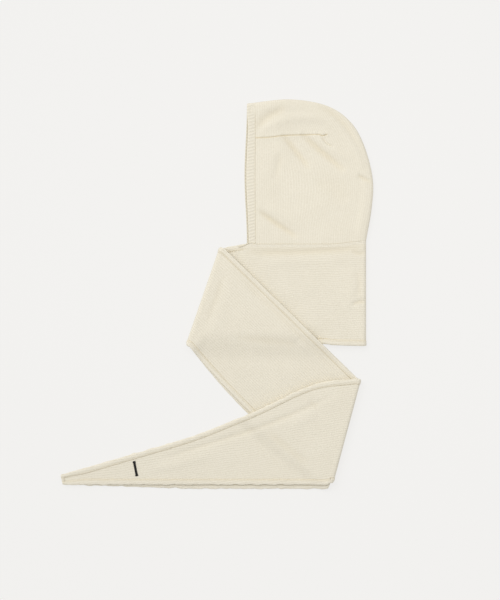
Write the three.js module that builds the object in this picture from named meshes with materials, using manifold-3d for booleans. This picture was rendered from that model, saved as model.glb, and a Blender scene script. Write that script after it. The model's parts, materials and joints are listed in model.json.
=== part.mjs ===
// Balaclava made as a knitted hood on a long scarf band, laid flat on a table.
// The hood is folded at the centre back with its face opening towards -X. The two arms of the scarf lie
// on each other and are folded twice, in a zigzag. X runs across, Y runs up the garment, +Z off the table.
import * as THREE from "three";
import { mergeVertices } from "three/addons/utils/BufferGeometryUtils.js";
import Module from "manifold-3d";

const wasm = await Module();
wasm.setup();

// Cloth, in millimetres
const KNIT = 2.2; // thickness of the knit
const GAP = 0.3; // clearance between pieces that touch
const ARM_AIR = 2.8; // air between the two arms where they lie on each other
const OPEN = 6.6; // air inside the flattened hood and neck
const REST_AIR = 1.3; // air between the neck band and the arms folded over it
const THREAD = 0.6; // thickness of a line of stitching
const STITCH_WIDTH = 1.6;
const SEAM_WIDTH = 3; // a linked seam, as wide as it shows
const HEM = 11; // edge to stitching

// Hood
const HOOD_DEPTH = 250; // face edge to centre back at the neck
const HOOD_HEIGHT = 297; // neck seam to crown
const HOOD_SWELL = 13; // how far the back of the head stands out past the neck
const BINDING_WIDTH = 16;
const DART_HEIGHT = 217; // above the neck seam, at the face end
const DART_LENGTH = 151;
const DART_RISE = 7; // from its face end to its back end

// Scarf band
const NECK_PAST = 57; // face edge to the first fold, along the upper hem
const NECK_DROP = 12.6; // how far the upper hem falls between hood and first fold
const SCARF_WIDTH = 206;
const FOLD_1_LEAN = 19.1; // degrees from upright
const MIDDLE_LENGTH = 406;
const MIDDLE_SLOPE = 43.1; // degrees below level
const MIDDLE_BOW = 11; // how far the lower edge bows out
const MIDDLE_PEEK = 5; // how far the left arm shows past the right
const FOLD_2_LEAN = 15;
const FOLD_2_LENGTH = 219.5;
const END_LENGTH = 573; // second fold to tip
const END_SAG = 8.4; // how far the lower hem falls past the fold's corner
const END_PEEK = 9; // how far the right arm shows past the left
const TIP_WIDTH = 19;
const CORNER_CUT = 3.5; // what a fold's round corners take off its length
// Share of the way to the tip, and how far the upper hem stands off the straight line there
const END_CURVE = [[0.15, 17], [0.34, 1], [0.54, -9], [0.74, -6]];

// Drape: where a layer starts to come down beside what it lies over, and how far it takes
const DRAPE_START = 4;
const NECK_DRAPE_RUN = 36;
const MIDDLE_DRAPE_SHARE = 0.6; // of the way from the neck's lower hem down to the second fold
const END_DRAPE_RUN = 42;

// Tab and tacks
const TAB_WIDTH = 6;
const TAB_LENGTH = 32;
const TAB_THICK = 0.8;
const TAB_FROM_TIP = 157;
const TAB_BELOW_STITCH = 2; // gap between the upper hem's stitching and the tab
const TAB_LEAN = 11; // degrees from upright
const TACK_WIDTH = 2.2;
const TACK_LENGTH = 8;
const TIP_TACK = 7;

const FAR = 1500; // reaches past the whole garment
const SEGMENTS = 8;

// Heights of the middle of each layer
const TABLE = [KNIT / 2, KNIT / 2 + KNIT + ARM_AIR];
const NECK_HIGH = KNIT + OPEN + KNIT / 2;
const OVER_NECK_LEFT = NECK_HIGH + KNIT + REST_AIR;
const OVER_NECK_RIGHT = OVER_NECK_LEFT + KNIT + ARM_AIR;
const FOLD_1_Z = (TABLE[0] + OVER_NECK_RIGHT) / 2;
const NECK_AT_FOLD = 2 * FOLD_1_Z - OVER_NECK_LEFT;
const OVER_MIDDLE_RIGHT = TABLE[1] + KNIT + ARM_AIR;
const OVER_MIDDLE_LEFT = OVER_MIDDLE_RIGHT + KNIT + ARM_AIR;
const FOLD_2_Z = (TABLE[0] + OVER_MIDDLE_LEFT) / 2;

const cream = { color: 0xe9e1cc, roughness: 0.95, metalness: 0 };
const rib = { color: 0xe6dec9, roughness: 0.95, metalness: 0 };
const thread = { color: 0xd9d0b8, roughness: 0.8, metalness: 0 };
const charcoal = { color: 0x2b2926, roughness: 0.9, metalness: 0 };

// Plan geometry

function direction(degrees) {
  const angle = THREE.MathUtils.degToRad(degrees);
  return new THREE.Vector2(Math.cos(angle), Math.sin(angle));
}

function from(point, way, distance) {
  return point.clone().addScaledVector(way, distance);
}

// The unit vector to the left of the way from a to b
function leftOf(a, b) {
  const way = b.clone().sub(a).normalize();
  return new THREE.Vector2(-way.y, way.x);
}

// A line moved to its left by a distance, corner by corner
function offsetLine(line, distance) {
  return line.map((point, i) => {
    const before = line[Math.max(i - 1, 0)];
    const after = line[Math.min(i + 1, line.length - 1)];
    return from(point, leftOf(before, after), distance);
  });
}

// Shortens a line at both ends
function trimmed(line, distance) {
  const first = line[1].clone().sub(line[0]).normalize();
  const last = line[line.length - 1].clone().sub(line[line.length - 2]).normalize();
  return [
    from(line[0], first, distance),
    ...line.slice(1, -1),
    from(line[line.length - 1], last, -distance),
  ];
}

// A ribbon of one width whose right side is the line moved left by an inset
function ribbon(line, inset, width) {
  return [...offsetLine(line, inset), ...offsetLine(line, inset + width).reverse()];
}

// Solids

function solid(geometry) {
  geometry.deleteAttribute("normal");
  geometry.deleteAttribute("uv");
  const merged = mergeVertices(geometry, 1e-4);
  return new wasm.Manifold(
    new wasm.Mesh({
      numProp: 3,
      vertProperties: new Float32Array(merged.attributes.position.array),
      triVerts: new Uint32Array(merged.index.array),
    }),
  );
}

function prism(outline, low, high) {
  const shape = new THREE.Shape(outline);
  const geometry = new THREE.ExtrudeGeometry(shape, { depth: high - low, bevelEnabled: false });
  geometry.translate(0, 0, low);
  return solid(geometry);
}

// A long bar with the given section, whose x runs along the level vector across and whose y is height
function bar(section, start, across, length) {
  const shape = new THREE.Shape(section);
  const geometry = new THREE.ExtrudeGeometry(shape, { depth: length, bevelEnabled: false });
  const x = new THREE.Vector3(across.x, across.y, 0);
  const y = new THREE.Vector3(0, 0, 1);
  const z = new THREE.Vector3().crossVectors(x, y);
  const place = new THREE.Matrix4().makeBasis(x, y, z);
  place.setPosition(start.x, start.y, 0);
  geometry.applyMatrix4(place);
  return solid(geometry);
}

// Heights that ease from high to low, starting at s and taking run to get there
function ease(high, low, s, run) {
  const points = [];
  for (let i = 0; i <= SEGMENTS; i += 1) {
    const share = (1 - Math.cos((Math.PI * i) / SEGMENTS)) / 2;
    points.push([s + (run * i) / SEGMENTS, high + (low - high) * share]);
  }
  return points;
}

// A sheet that lies high up to the edge of what is under it and comes down beside it
function drapedSheet(under, heights, lift, thick) {
  const { edge, across, run } = under;
  const line = [[-FAR, heights[0]], ...ease(heights[0], heights[1], DRAPE_START, run), [FAR, heights[1]]];
  const low = line.map(([s, z]) => new THREE.Vector2(s, z + lift - thick / 2));
  const high = line.map(([s, z]) => new THREE.Vector2(s, z + lift + thick / 2));
  const along = new THREE.Vector2(across.y, -across.x);
  return bar([...low, ...high.reverse()], from(edge, along, -FAR), across, 2 * FAR);
}

// Heights of the neck band's left half, from the centre back out to the first fold
function neckHeights() {
  return [...ease(NECK_HIGH, NECK_AT_FOLD, HOOD_DEPTH + DRAPE_START, NECK_DRAPE_RUN), [FAR, NECK_AT_FOLD]];
}

// The section of the neck band: right half on the table, round the centre back, left half above it
function neckSection(inset) {
  const round = (KNIT * 2 + OPEN) / 2;
  const outer = round - inset;
  const inner = round - KNIT + inset;
  const arc = (radius, i) => {
    const angle = -Math.PI / 2 + (Math.PI * i) / SEGMENTS;
    return new THREE.Vector2(-round + radius * Math.cos(angle), round + radius * Math.sin(angle));
  };
  const steps = [...Array(SEGMENTS + 1).keys()];
  const top = neckHeights();
  const half = KNIT / 2 - inset;
  return [
    new THREE.Vector2(-FAR, inset),
    ...steps.map((i) => arc(outer, i)),
    ...top.map(([s, z]) => new THREE.Vector2(-s, z + half)),
    ...top.map(([s, z]) => new THREE.Vector2(-s, z - half)).reverse(),
    ...steps.map((i) => arc(inner, SEGMENTS - i)),
    new THREE.Vector2(-FAR, KNIT - inset),
  ];
}

const NECK_TOP = -SEAM_WIDTH;
const NECK_BOTTOM = -(NECK_DROP + SCARF_WIDTH);

function neckBar(inset) {
  return bar(neckSection(inset), new THREE.Vector2(0, FAR), new THREE.Vector2(1, 0), 2 * FAR);
}

// Half a tube of knit along a fold, from a to b, standing out to the left of that way
function bend(a, b, height, layer) {
  const radius = height - layer;
  const ring = (r, i) => {
    const angle = -Math.PI / 2 + (Math.PI * i) / SEGMENTS;
    return new THREE.Vector2(r * Math.cos(angle), height + r * Math.sin(angle));
  };
  const steps = [...Array(SEGMENTS + 1).keys()];
  const section = [
    ...steps.map((i) => ring(radius + KNIT / 2, i)),
    ...steps.map((i) => ring(radius - KNIT / 2, SEGMENTS - i)),
  ];
  return bar(section, a, leftOf(a, b), a.distanceTo(b));
}

// The corners of the zigzag, seen from above

const down1 = direction(-90 - FOLD_1_LEAN);
const inward1 = direction(-FOLD_1_LEAN);
const down2 = direction(-90 - FOLD_2_LEAN);
const inward2 = direction(180 - FOLD_2_LEAN);
const fold1Top = new THREE.Vector2(-HOOD_DEPTH - NECK_PAST, -NECK_DROP);
const fold1Bottom = from(fold1Top, down1, SCARF_WIDTH / Math.cos(THREE.MathUtils.degToRad(FOLD_1_LEAN)));
const fold2Top = from(fold1Top, direction(-MIDDLE_SLOPE), MIDDLE_LENGTH);
const fold2Bottom = from(fold2Top, down2, FOLD_2_LENGTH);

// Where the flat cloth stops and the bend begins: as far in as the bend is round
const bend1Top = from(from(fold1Top, inward1, FOLD_1_Z), down1, CORNER_CUT);
const bend1Bottom = from(from(fold1Bottom, inward1, FOLD_1_Z), down1, -CORNER_CUT);
const bend2Top = from(from(fold2Top, inward2, FOLD_2_Z), down2, CORNER_CUT);
const bend2Bottom = from(from(fold2Bottom, inward2, FOLD_2_Z), down2, -CORNER_CUT);

// Lower edge of the middle run, bowed out, from the first fold to the second
function middleLowerEdge(peek) {
  const start = from(bend1Bottom, inward1, GAP);
  const end = from(bend2Bottom, inward2, GAP);
  const out = leftOf(end, start);
  const control = from(start.clone().lerp(end, 0.46), out, 2 * (MIDDLE_BOW + peek));
  return new THREE.QuadraticBezierCurve(start, control, end).getPoints(SEGMENTS);
}

function middleUpperEdge() {
  return [from(bend1Top, inward1, GAP), from(bend2Top, inward2, GAP)];
}

const tipTop = new THREE.Vector2(fold2Bottom.x - END_LENGTH, fold2Bottom.y - END_SAG + TIP_WIDTH);

// Upper hem of the end run, from the second fold to the tip
function endUpperEdge() {
  const start = from(bend2Top, inward2, GAP);
  const points = END_CURVE.map(([share, rise]) => {
    const point = start.clone().lerp(tipTop, share);
    point.y += rise;
    return point;
  });
  return new THREE.SplineCurve([start, ...points, tipTop]).getPoints(2 * SEGMENTS);
}

// Lower hem of the end run, from the second fold to the tip
function endLowerEdge(peek) {
  const start = from(bend2Bottom, inward2, GAP);
  const level = fold2Bottom.y - END_SAG;
  return [
    start,
    new THREE.Vector2(start.x - END_SAG, level - peek),
    new THREE.Vector2(start.x - END_LENGTH / 2, level - peek),
    new THREE.Vector2(tipTop.x + END_SAG / 2, level),
  ];
}

// Hood: a flat pocket with a round fold at the back and crown, open at the face and at the neck

function hoodOutline() {
  const past = 30;
  const back = new THREE.SplineCurve([
    new THREE.Vector2(0, 0),
    new THREE.Vector2(0.85 * HOOD_SWELL, 0.236 * HOOD_HEIGHT),
    new THREE.Vector2(HOOD_SWELL, 0.438 * HOOD_HEIGHT),
    new THREE.Vector2(-0.016 * HOOD_DEPTH, 0.673 * HOOD_HEIGHT),
    new THREE.Vector2(-0.132 * HOOD_DEPTH, 0.842 * HOOD_HEIGHT),
    new THREE.Vector2(-0.33 * HOOD_DEPTH, 0.955 * HOOD_HEIGHT),
    new THREE.Vector2(-0.64 * HOOD_DEPTH, HOOD_HEIGHT),
    new THREE.Vector2(-HOOD_DEPTH, 0.97 * HOOD_HEIGHT),
  ]);
  return [
    new THREE.Vector2(-HOOD_DEPTH - past, -past),
    new THREE.Vector2(0, -past),
    ...back.getPoints(4 * SEGMENTS),
    new THREE.Vector2(-HOOD_DEPTH - past, 0.96 * HOOD_HEIGHT),
  ];
}

// The pocket's wall between two offsets from its outer face
function hoodSkin(inset) {
  const round = (KNIT * 2 + OPEN) / 2;
  const flat = 0.2;
  const fill = (size) => {
    const geometry = new THREE.ExtrudeGeometry(new THREE.Shape(hoodOutline()), {
      depth: flat,
      bevelEnabled: true,
      bevelOffset: -round,
      bevelSize: size,
      bevelThickness: size - flat / 2,
      bevelSegments: 4,
    });
    geometry.translate(0, 0, round - flat / 2);
    return solid(geometry);
  };
  return fill(round - inset).subtract(fill(round - KNIT + inset));
}

// Everything between two distances in from the face edge, above the neck seam
function hoodSlice(near, far) {
  const outline = [
    new THREE.Vector2(-HOOD_DEPTH + near, 0),
    new THREE.Vector2(-HOOD_DEPTH + far, 0),
    new THREE.Vector2(-HOOD_DEPTH + far, FAR),
    new THREE.Vector2(-HOOD_DEPTH + near, FAR),
  ];
  return prism(outline, -FAR, FAR);
}

function dartRibbon(inset) {
  const start = new THREE.Vector2(-HOOD_DEPTH + BINDING_WIDTH + SEAM_WIDTH, DART_HEIGHT);
  const end = new THREE.Vector2(start.x + DART_LENGTH, DART_HEIGHT + DART_RISE);
  return ribbon(trimmed([start, end], inset), inset - SEAM_WIDTH / 2, SEAM_WIDTH - 2 * inset);
}

function hoodPanel() {
  const slot = prism(dartRibbon(-GAP), -FAR, FAR);
  return hoodSkin(0).intersect(hoodSlice(BINDING_WIDTH + SEAM_WIDTH, FAR)).subtract(slot);
}

function faceBinding() {
  return hoodSkin(0).intersect(hoodSlice(0, BINDING_WIDTH));
}

function faceBindingSeam() {
  return hoodSkin(GAP).intersect(hoodSlice(BINDING_WIDTH + GAP, BINDING_WIDTH + SEAM_WIDTH - GAP));
}

function dartSeam(middle) {
  return prism(dartRibbon(0), middle - KNIT / 2 + GAP, middle + KNIT / 2 - GAP);
}

function neckSeam() {
  const outline = [
    new THREE.Vector2(-HOOD_DEPTH, -SEAM_WIDTH + GAP),
    new THREE.Vector2(FAR, -SEAM_WIDTH + GAP),
    new THREE.Vector2(FAR, -GAP),
    new THREE.Vector2(-HOOD_DEPTH, -GAP),
  ];
  return neckBar(GAP).intersect(prism(outline, -FAR, FAR));
}

// Neck band

const neckUpperEdge = [
  new THREE.Vector2(-HOOD_DEPTH - DRAPE_START, NECK_TOP),
  from(bend1Top, inward1, GAP),
];
const neckLowerEdge = [
  from(bend1Bottom, inward1, GAP),
  new THREE.Vector2(-(KNIT * 2 + OPEN), NECK_BOTTOM),
];

function neckBand() {
  const outline = [
    new THREE.Vector2(FAR, NECK_TOP),
    ...neckUpperEdge,
    neckLowerEdge[0],
    new THREE.Vector2(neckLowerEdge[0].x + SEAM_WIDTH, NECK_BOTTOM),
    new THREE.Vector2(FAR, NECK_BOTTOM),
  ];
  return neckBar(0).intersect(prism(outline, -FAR, FAR));
}

// Stitching along one of the neck band's hems, on the face of its left or right half
function neckStitch(edge, side) {
  const outline = ribbon(trimmed(edge, HEM / 2), HEM, STITCH_WIDTH);
  if (side === "right") {
    return prism(outline, KNIT + GAP, KNIT + GAP + THREAD);
  }
  const lift = KNIT / 2 + GAP;
  const line = [[-FAR, NECK_HIGH], ...neckHeights()];
  const low = line.map(([s, z]) => new THREE.Vector2(s, z + lift));
  const high = line.map(([s, z]) => new THREE.Vector2(s, z + lift + THREAD));
  const section = [...low, ...high.reverse()];
  const sheet = bar(section, new THREE.Vector2(0, -FAR), new THREE.Vector2(-1, 0), 2 * FAR);
  return sheet.intersect(prism(outline, -FAR, FAR));
}

// Scarf runs: each is a sheet draped over what lies under it, trimmed to its outline. What lies under is
// given as a point on its edge, the way out across that edge, and how far the sheet takes to come down.

const overNeck = {
  edge: new THREE.Vector2(0, NECK_BOTTOM),
  across: new THREE.Vector2(0, -1),
  run: MIDDLE_DRAPE_SHARE * (NECK_BOTTOM - fold2Top.y),
};
const middleChord = middleLowerEdge(MIDDLE_PEEK).slice(SEGMENTS / 2);
const overMiddle = {
  edge: from(middleChord[0], leftOf(bend2Bottom, middleChord[0]), MIDDLE_BOW / 2),
  across: leftOf(bend2Bottom, middleChord[0]),
  run: END_DRAPE_RUN,
};

const middleHeights = {
  left: [OVER_NECK_LEFT, TABLE[0]],
  right: [OVER_NECK_RIGHT, TABLE[1]],
};
const endHeights = {
  left: [OVER_MIDDLE_LEFT, TABLE[1]],
  right: [OVER_MIDDLE_RIGHT, TABLE[0]],
};

function middleRun(side) {
  const peek = side === "left" ? MIDDLE_PEEK : 0;
  const outline = [...middleUpperEdge(), ...middleLowerEdge(peek).reverse()];
  const sheet = drapedSheet(overNeck, middleHeights[side], 0, KNIT);
  return sheet.intersect(prism(outline, -FAR, FAR));
}

function endRun(side) {
  const peek = side === "right" ? END_PEEK : 0;
  const outline = [...endUpperEdge(), ...endLowerEdge(peek).reverse()];
  const sheet = drapedSheet(overMiddle, endHeights[side], 0, KNIT);
  return sheet.intersect(prism(outline, -FAR, FAR));
}

// Stitching on top of a run; the hem lies to the left of the line
function runStitch(line, under, heights) {
  const outline = ribbon(trimmed(line, HEM / 2), HEM, STITCH_WIDTH);
  const lift = KNIT / 2 + GAP + THREAD / 2;
  const sheet = drapedSheet(under, heights, lift, THREAD);
  return sheet.intersect(prism(outline, -FAR, FAR));
}

// Tab and tacks on the end runs

const hemLevel = fold2Bottom.y - END_SAG;

// The upper hem's height above the table's datum at a distance from the tip
function upperHemAt(distance) {
  const x = tipTop.x + distance;
  const line = endUpperEdge();
  const i = line.findIndex((point) => point.x <= x);
  const share = (x - line[i].x) / (line[i - 1].x - line[i].x);
  return line[i].y + (line[i - 1].y - line[i].y) * share;
}

const tabCentre = new THREE.Vector2(
  tipTop.x + TAB_FROM_TIP,
  upperHemAt(TAB_FROM_TIP) - HEM - STITCH_WIDTH - TAB_BELOW_STITCH - TAB_LENGTH / 2,
);
const tabWay = direction(90 + TAB_LEAN);

// A small block on top of the left (upper) or right arm's end run, its length along a way
function patch(centre, way, length, width, low, thick) {
  const start = from(centre, way, -length / 2);
  const end = from(centre, way, length / 2);
  return prism(ribbon([start, end], -width / 2, width), low, low + thick);
}

const leftTop = TABLE[1] + KNIT / 2 + GAP;
const rightTop = TABLE[0] + KNIT / 2 + GAP;
const tabTop = leftTop + TAB_THICK + GAP;

function tabTack(end) {
  const centre = from(tabCentre, tabWay, end * (TAB_LENGTH / 2 - TACK_WIDTH));
  return patch(centre, tabWay, TACK_WIDTH, TACK_LENGTH, tabTop, THREAD);
}

function tipTack(low) {
  const centre = new THREE.Vector2(tipTop.x + TIP_TACK, hemLevel + TIP_WIDTH / 2);
  return patch(centre, direction(90), TIP_TACK, TACK_WIDTH, low, THREAD);
}

// Assembly

const group = new THREE.Group();

function add(name, shape, look) {
  const mesh = shape.getMesh();
  const geometry = new THREE.BufferGeometry();
  geometry.setAttribute("position", new THREE.BufferAttribute(mesh.vertProperties, 3));
  geometry.setIndex(new THREE.BufferAttribute(mesh.triVerts, 1));
  geometry.computeVertexNormals();
  const part = new THREE.Mesh(geometry, new THREE.MeshStandardMaterial(look));
  part.name = name;
  group.add(part);
}

add("hood_panel", hoodPanel(), cream);
add("face_binding", faceBinding(), rib);
add("face_binding_seam", faceBindingSeam(), thread);
add("dart_seam_left", dartSeam(NECK_HIGH), thread);
add("dart_seam_right", dartSeam(TABLE[0]), thread);
add("neck_seam", neckSeam(), thread);
add("neck_band", neckBand(), cream);

for (const side of ["left", "right"]) {
  const middleLayer = side === "left" ? NECK_AT_FOLD : TABLE[0];
  const endLayer = side === "left" ? TABLE[0] : TABLE[1];
  const middlePeek = side === "left" ? MIDDLE_PEEK : 0;
  const endPeek = side === "right" ? END_PEEK : 0;
  const middleLow = middleLowerEdge(middlePeek);
  const endLow = endLowerEdge(endPeek).slice(1).reverse();
  const middleUp = middleUpperEdge().reverse();
  const endUp = endUpperEdge().slice(0, -2); // the two hems meet at the tip, so this one stops short
  add(`neck_upper_hem_stitch_${side}`, neckStitch(neckUpperEdge, side), thread);
  add(`neck_lower_hem_stitch_${side}`, neckStitch(neckLowerEdge, side), thread);
  add(`fold_1_bend_${side}`, bend(bend1Bottom, bend1Top, FOLD_1_Z, middleLayer), cream);
  add(`scarf_middle_${side}`, middleRun(side), cream);
  add(`middle_upper_hem_stitch_${side}`, runStitch(middleUp, overNeck, middleHeights[side]), thread);
  add(`middle_lower_hem_stitch_${side}`, runStitch(middleLow, overNeck, middleHeights[side]), thread);
  add(`fold_2_bend_${side}`, bend(bend2Top, bend2Bottom, FOLD_2_Z, endLayer), cream);
  add(`scarf_end_${side}`, endRun(side), cream);
  add(`end_upper_hem_stitch_${side}`, runStitch(endUp, overMiddle, endHeights[side]), thread);
  add(`end_lower_hem_stitch_${side}`, runStitch(endLow, overMiddle, endHeights[side]), thread);
  add(`tip_tack_${side}`, tipTack(side === "left" ? leftTop : rightTop), thread);
}

add("woven_tab", patch(tabCentre, tabWay, TAB_LENGTH, TAB_WIDTH, leftTop, TAB_THICK), charcoal);
add("tab_tack_upper", tabTack(1), charcoal);
add("tab_tack_lower", tabTack(-1), charcoal);

// The origin is under the middle of the whole garment, on the table
const extent = new THREE.Box3().setFromObject(group);
const centre = extent.getCenter(new THREE.Vector3());
group.position.set(-centre.x, -centre.y, -extent.min.z);

export default group;
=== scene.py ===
import json
import math

import bmesh
import bpy
from mathutils import Matrix, Vector, noise


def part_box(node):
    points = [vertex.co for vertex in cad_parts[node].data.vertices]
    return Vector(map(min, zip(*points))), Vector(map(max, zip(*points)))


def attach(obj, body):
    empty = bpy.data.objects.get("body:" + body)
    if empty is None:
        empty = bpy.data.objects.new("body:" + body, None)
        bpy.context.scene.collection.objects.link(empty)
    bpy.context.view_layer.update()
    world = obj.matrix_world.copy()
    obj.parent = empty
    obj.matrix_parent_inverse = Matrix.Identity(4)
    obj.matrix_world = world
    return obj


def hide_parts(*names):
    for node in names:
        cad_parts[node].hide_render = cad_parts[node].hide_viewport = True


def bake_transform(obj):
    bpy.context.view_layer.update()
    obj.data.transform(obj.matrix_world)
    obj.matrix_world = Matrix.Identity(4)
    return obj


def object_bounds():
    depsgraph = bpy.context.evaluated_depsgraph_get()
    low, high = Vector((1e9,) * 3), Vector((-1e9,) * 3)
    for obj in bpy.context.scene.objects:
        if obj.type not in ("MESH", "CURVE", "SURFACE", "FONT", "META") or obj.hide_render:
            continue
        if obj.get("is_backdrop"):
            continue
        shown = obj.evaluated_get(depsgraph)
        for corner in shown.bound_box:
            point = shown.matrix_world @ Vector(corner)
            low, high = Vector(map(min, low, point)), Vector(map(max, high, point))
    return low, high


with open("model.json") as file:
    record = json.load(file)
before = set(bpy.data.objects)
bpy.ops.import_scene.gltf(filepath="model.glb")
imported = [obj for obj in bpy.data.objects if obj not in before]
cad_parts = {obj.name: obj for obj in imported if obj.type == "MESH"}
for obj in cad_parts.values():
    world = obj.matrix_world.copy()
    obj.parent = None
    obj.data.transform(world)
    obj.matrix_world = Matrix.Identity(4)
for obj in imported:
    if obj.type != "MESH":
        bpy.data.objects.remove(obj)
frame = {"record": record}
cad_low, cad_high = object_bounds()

# ---------------------------------------------------------------------------------------------------
# Camera: straight above the laid-out garment, a long lens from three and a half metres, with the
# garment a little to the left of the frame's middle.
camera_height = 3.5
view_height = 1.26  # what the long side of the frame takes in on the table
aside = Vector((0.0698, -0.0126))
camera = bpy.data.objects.new("camera", bpy.data.cameras.new("camera"))
bpy.context.scene.collection.objects.link(camera)
camera.data.sensor_width = 36
camera.data.lens = camera.data.sensor_width * camera_height / view_height
camera.location = (
    (cad_low.x + cad_high.x) / 2 + aside.x,
    (cad_low.y + cad_high.y) / 2 + aside.y,
    camera_height,
)
bpy.context.scene.camera = camera

# ---------------------------------------------------------------------------------------------------
# Hood: one panel of fine cream knit, folded at the centre back with no seam there. Flat on the table
# it is a pocket, open at the face and at the neck, with a soft round edge at the back and crown.
mm = 0.001  # sizes are in mm, and are turned into metres as a mesh is made
knit = 2.2
thickest = 4.4  # double knit at hems and trim; each spot's share of it is in the thickness group
datum = Vector((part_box("neck_band")[1].x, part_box("hood_panel")[0].y))  # centre back, on the neck seam
hood_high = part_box("hood_panel")[1]
face_x = (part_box("face_binding")[0].x - datum.x) / mm
hood_top = (hood_high.y - datum.y) / mm
hood_back = (hood_high.x - datum.x) / mm
hood_skin = (knit / 2, hood_high.z / mm - knit / 2)  # middle of the lower and of the upper wall
seam_fall = 7.4  # how much lower the neck seam lies along the neck than at its back fold
trim_width = 16
round_in = 5.5  # how far in from a folded or round edge the cloth turns over


def local(point):
    """A point of the row frame, in mm from the datum."""
    return Vector(((point[0] - datum.x) / mm, (point[1] - datum.y) / mm))


def smooth(low, high, x):
    t = min(max((x - low) / (high - low), 0), 1)
    return t * t * (3 - 2 * t)


def spread(low, high, step):
    """Even steps from low to high, both included."""
    count = max(1, round(abs(high - low) / step))
    return [low + (high - low) * i / count for i in range(count + 1)]


def rounded(points, steps):
    """A smooth curve through the points, with so many steps between each two."""
    ends = [2 * points[0] - points[1], *points, 2 * points[-1] - points[-2]]
    line = []
    for a, b, c, d in zip(ends, ends[1:], ends[2:], ends[3:]):
        for t in (k / steps for k in range(steps)):
            line.append(0.5 * (2 * b + (c - a) * t + (2 * a - 5 * b + 4 * c - d) * t * t
                               + (3 * b - a - 3 * c + d) * t**3))
    return [*line, points[-1]]


def along(line, share):
    """The point a share of the way along a line of points."""
    left = share * sum((b - a).length for a, b in zip(line, line[1:]))
    for a, b in zip(line, line[1:]):
        length = (b - a).length
        if left <= length:
            return a.lerp(b, left / length)
        left -= length
    return line[-1].copy()


def off_line(x, y, line):
    """How far a spot is from a line of points, and how far along the line that is, from 0 to 1."""
    spot, best, where = Vector((x, y)), 1e9, 0
    for i, (a, b) in enumerate(zip(line, line[1:])):
        way = b - a
        t = min(max((spot - a).dot(way) / way.length_squared, 0), 1)
        distance = (spot - a - way * t).length
        if distance < best:
            best, where = distance, (i + t) / (len(line) - 1)
    return best, where


def creased(x, y, creases):
    """The height that creases give the cloth: ridges, or valleys where high is negative, each fading
    at both ends of its line."""
    height = 0
    for line, width, high in creases:
        distance, where = off_line(x, y, line)
        if distance < 3 * width:
            height += high * math.exp(-((distance / width) ** 2)) * (1 - abs(2 * where - 1) ** 3)
    return height


def rumple(x, y):
    """The slow rise and fall, from 0 to about 1 mm, of cloth that was smoothed out by hand."""
    slow = noise.noise(Vector((x / 75, y / 75, 3.1)))
    quick = noise.noise(Vector((x / 28, y / 28, 8.7)))
    return max(0, 0.5 + 0.75 * slow + 0.3 * quick)


def lay_cloth(columns, rows, place):
    """A grid of cloth. place(column, row) gives a corner's spot, the cloth's thickness there, its place
    on the flat knit, across and along the wales, and how much painted shade it gets for being down in a
    groove or crease."""
    bm = bmesh.new()
    flat_map = bm.loops.layers.uv.new("flat")
    # The depth map holds painted shade: how much the colour is darkened and warmed there.
    painted_shade_map = bm.loops.layers.uv.new("depth")
    group = bm.verts.layers.deform.verify()
    bmesh.ops.create_grid(bm, x_segments=len(columns) - 1, y_segments=len(rows) - 1, size=0.5)
    flat_spot = {}
    for vert in bm.verts:
        column = columns[round((vert.co.x + 0.5) * (len(columns) - 1))]
        row = rows[round((vert.co.y + 0.5) * (len(rows) - 1))]
        spot, thick, flat, painted_shade = place(column, row)
        vert.co = (datum.x + spot[0] * mm, datum.y + spot[1] * mm, spot[2] * mm)
        vert[group][0] = min(thick / thickest, 1)
        flat_spot[vert] = (flat[0] * mm, flat[1] * mm), (min(max(painted_shade, 0), 1), 0)
    for face in bm.faces:
        for loop in face.loops:
            loop[flat_map].uv, loop[painted_shade_map].uv = flat_spot[loop.vert]
    return bm


def make(name, bm, material):
    """Turns the faces outwards and makes the object."""
    bmesh.ops.recalc_face_normals(bm, faces=bm.faces)
    for face in bm.faces:
        face.smooth = True
    mesh = bpy.data.meshes.new(name)
    bm.to_mesh(mesh)
    bm.free()
    mesh.materials.append(material)
    piece = bpy.data.objects.new(name, mesh)
    bpy.context.scene.collection.objects.link(piece)
    return piece


def make_cloth(name, bm, material):
    """Merges what meets, makes the object and gives the cloth its thickness, half to each side. Its
    rims are sharp, so that two pieces of one cloth look whole where they meet."""
    bmesh.ops.remove_doubles(bm, verts=bm.verts, dist=0.01 * mm)
    for edge in bm.edges:
        edge.smooth = not edge.is_boundary
    piece = make(name, bm, material)
    piece.vertex_groups.new(name="thickness")
    wall = piece.modifiers.new("wall", "SOLIDIFY")
    wall.thickness = thickest * mm
    wall.offset = 0
    wall.vertex_group = "thickness"
    return piece


def join(first, second):
    """Adds the second bmesh to the first."""
    mesh = bpy.data.meshes.new("joining")
    second.to_mesh(mesh)
    second.free()
    first.from_mesh(mesh)
    bpy.data.meshes.remove(mesh)
    return first


def fit(piece, body, slot, *nodes):
    """The piece rides on a body and stands for these CAD nodes, which it hides. slot is not used."""
    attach(piece, body)
    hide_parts(*nodes)
    return piece


def node(tree, kind, settings=None, inputs=None):
    """A shader node with its settings, and its inputs as values or as the sockets that feed them."""
    made = tree.nodes.new(kind)
    for key, value in (settings or {}).items():
        setattr(made, key, value)
    for key, value in (inputs or {}).items():
        if isinstance(value, bpy.types.NodeSocket):
            tree.links.new(value, made.inputs[key])
        else:
            made.inputs[key].default_value = value
    return made


def maths(tree, operation, *values):
    return node(tree, "ShaderNodeMath", {"operation": operation}, dict(enumerate(values))).outputs[0]


def speckle(tree, vector, scale, detail=2.0):
    """Noise from -0.5 to 0.5."""
    made = node(tree, "ShaderNodeTexNoise", None,
                {"Vector": vector, "Scale": scale, "Detail": detail, "Roughness": 0.7})
    return maths(tree, "SUBTRACT", made.outputs["Fac"], 0.5)


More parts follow.
